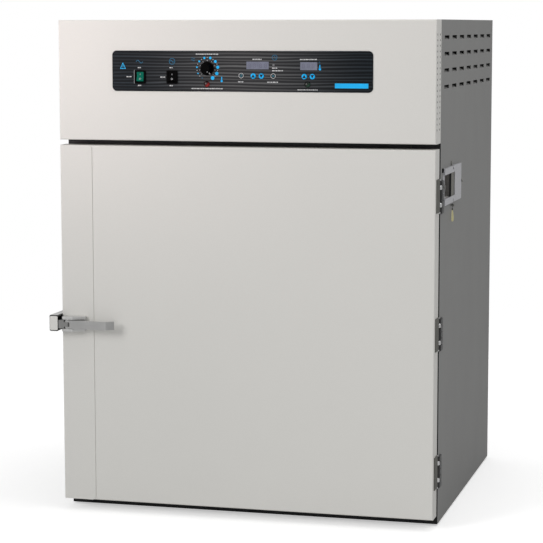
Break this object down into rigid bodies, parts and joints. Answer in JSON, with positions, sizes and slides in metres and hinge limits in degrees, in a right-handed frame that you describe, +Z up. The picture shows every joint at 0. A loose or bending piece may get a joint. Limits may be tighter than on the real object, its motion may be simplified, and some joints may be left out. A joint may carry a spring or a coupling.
{
  "type": "laboratory incubator",
  "caption": "Floor-standing heated laboratory cabinet: grey body, light side-hinged door with a lever latch, control hood on top, shelves, blower and heater inside.",
  "frame": {"origin": "on the floor under the middle of the cabinet's outline", "axes": "+X to the right of a person facing the door, +Y from the door into the cabinet, +Z up"},
  "size_m": [0.9617, 0.9292, 1.21],
  "materials": {
    "light_paint": "fine textured powder coat",
    "grey_paint": "fine textured powder coat",
    "black_paint": "satin",
    "stainless": "brushed",
    "galvanised": "mill finish",
    "wool": "mineral wool",
    "shelf_wire": "nickel plated",
    "steel_pin": "polished",
    "satin_chrome": "satin",
    "aluminium_cast": "as cast",
    "black_plastic": "satin",
    "overlay": "printed film",
    "green_rocker": "lit",
    "lamp_lens": "lens",
    "display_filter": "filter",
    "button_white": "satin",
    "button_blue": "satin",
    "board_green": "solder resist",
    "silicone": "matt",
    "foot_rubber": "matt",
    "tag_card": "card",
    "hinge_grey": "satin"
  },
  "bodies": {
    "cabinet": {"hood": "light_paint", "side_panel_left": "grey_paint", "side_panel_right": "grey_paint", "top_cover": "grey_paint", "rear_panel": "grey_paint", "rear_standoffs": "grey_paint", "front_frame": "black_paint", "base_frame": "black_paint", "chamber_liner": "stainless", "ceiling_baffle": "stainless", "duct_walls": "stainless", "shelf_standards": "stainless", "shelf_clips": "stainless", "vent_plate": "stainless", "vent_sleeve": "stainless", "temperature_probes": "stainless", "heater_element": "stainless", "compartment_floor": "galvanised", "insulation_blanket": "wool", "shelf_lower": "shelf_wire", "shelf_middle": "shelf_wire", "shelf_upper": "shelf_wire", "hinge_pins": "steel_pin", "vent_screws": "steel_pin", "latch_strike": "satin_chrome", "blower_motor": "aluminium_cast", "rocker_bezels": "black_plastic", "power_inlet": "black_plastic", "power_relay": "black_plastic", "limit_thermostat": "black_plastic", "control_overlay": "overlay", "indicator_lamps": "lamp_lens", "display_windows": "display_filter", "control_board": "board_green", "levelling_feet": "foot_rubber", "hinge_cabinet_leaves": "hinge_grey"},
    "door": {"door_shell": "light_paint", "door_latch_strip": "light_paint", "door_inner_pan": "stainless", "door_insulation": "wool", "door_gasket": "silicone", "hinge_door_leaves": "hinge_grey", "latch_base": "satin_chrome", "latch_pin": "steel_pin"},
    "latch_lever": {"latch_handle": "satin_chrome"},
    "latch_bolt": {"latch_tongue": "satin_chrome"},
    "strike_catch": {"strike_roller": "black_plastic"},
    "blower": {"blower_wheel": "galvanised", "motor_shaft": "steel_pin"},
    "power_switch": {"power_rocker": "green_rocker"},
    "heat_switch": {"heat_rocker": "black_plastic"},
    "limit_dial": {"limit_knob": "black_plastic"},
    "vent_slide": {"vent_shutter": "stainless"},
    "hanging_tag": {"service_tag": "tag_card"},
    "timer_reset_key": {"timer_reset_button": "button_white"},
    "timer_up_key": {"timer_up_button": "button_blue"},
    "timer_down_key": {"timer_down_button": "button_blue"},
    "timer_start_key": {"timer_start_button": "button_white"},
    "temperature_up_key": {"temperature_up_button": "button_blue"},
    "temperature_down_key": {"temperature_down_button": "button_blue"}
  },
  "joints": [
    {"name": "door_swing", "type": "hinge", "parent": "cabinet", "child": "door", "pos_m": [0.465, -0.3745, 0.469], "axis": [0, 0, 1], "range_deg": [0, 145]},
    {"name": "latch_lever_turn", "type": "hinge", "parent": "door", "child": "latch_lever", "pos_m": [-0.4435, -0.4515, 0.4695], "axis": [0, 0, -1], "range_deg": [0, 45]},
    {"name": "latch_bolt_turn", "type": "hinge", "parent": "door", "child": "latch_bolt", "pos_m": [-0.4435, -0.4515, 0.4695], "axis": [0, 0, -1], "range_deg": [0, 6]},
    {"name": "strike_roller_slide", "type": "slide", "parent": "cabinet", "child": "strike_catch", "axis": [1, 0, 0], "range_m": [0, 0.0035]},
    {"name": "blower_spin", "type": "hinge", "parent": "cabinet", "child": "blower", "pos_m": [0, -0.0425, 0.79], "axis": [0, 0, 1], "continuous": true},
    {"name": "power_rocker_tilt", "type": "hinge", "parent": "cabinet", "child": "power_switch", "pos_m": [-0.256, -0.4235, 1.074], "axis": [1, 0, 0], "range_deg": [0, 18]},
    {"name": "heat_rocker_tilt", "type": "hinge", "parent": "cabinet", "child": "heat_switch", "pos_m": [-0.176, -0.4235, 1.074], "axis": [1, 0, 0], "range_deg": [0, 18]},
    {"name": "limit_dial_turn", "type": "hinge", "parent": "cabinet", "child": "limit_dial", "pos_m": [-0.088, -0.4275, 1.0949], "axis": [0, -1, 0], "range_deg": [0, 300]},
    {"name": "vent_shutter_slide", "type": "slide", "parent": "cabinet", "child": "vent_slide", "axis": [0, 1, 0], "range_m": [-0.061, 0.028]},
    {"name": "tag_swing", "type": "hinge", "parent": "cabinet", "child": "hanging_tag", "pos_m": [0.469, -0.2185, 0.7625], "axis": [1, 0, 0], "range_deg": [-60, 60]},
    {"name": "timer_reset_key_press", "type": "slide", "parent": "cabinet", "child": "timer_reset_key", "axis": [0, 1, 0], "range_m": [0, 0.001], "stiffness_N_per_m": 900},
    {"name": "timer_up_key_press", "type": "slide", "parent": "cabinet", "child": "timer_up_key", "axis": [0, 1, 0], "range_m": [0, 0.001], "stiffness_N_per_m": 900},
    {"name": "timer_down_key_press", "type": "slide", "parent": "cabinet", "child": "timer_down_key", "axis": [0, 1, 0], "range_m": [0, 0.001], "stiffness_N_per_m": 900},
    {"name": "timer_start_key_press", "type": "slide", "parent": "cabinet", "child": "timer_start_key", "axis": [0, 1, 0], "range_m": [0, 0.001], "stiffness_N_per_m": 900},
    {"name": "temperature_up_key_press", "type": "slide", "parent": "cabinet", "child": "temperature_up_key", "axis": [0, 1, 0], "range_m": [0, 0.001], "stiffness_N_per_m": 900},
    {"name": "temperature_down_key_press", "type": "slide", "parent": "cabinet", "child": "temperature_down_key", "axis": [0, 1, 0], "range_m": [0, 0.001], "stiffness_N_per_m": 900}
  ],
  "couplings": [
    {"joint": "latch_bolt_turn", "follows": "latch_lever_turn", "ratio": 0.13333}
  ]
}
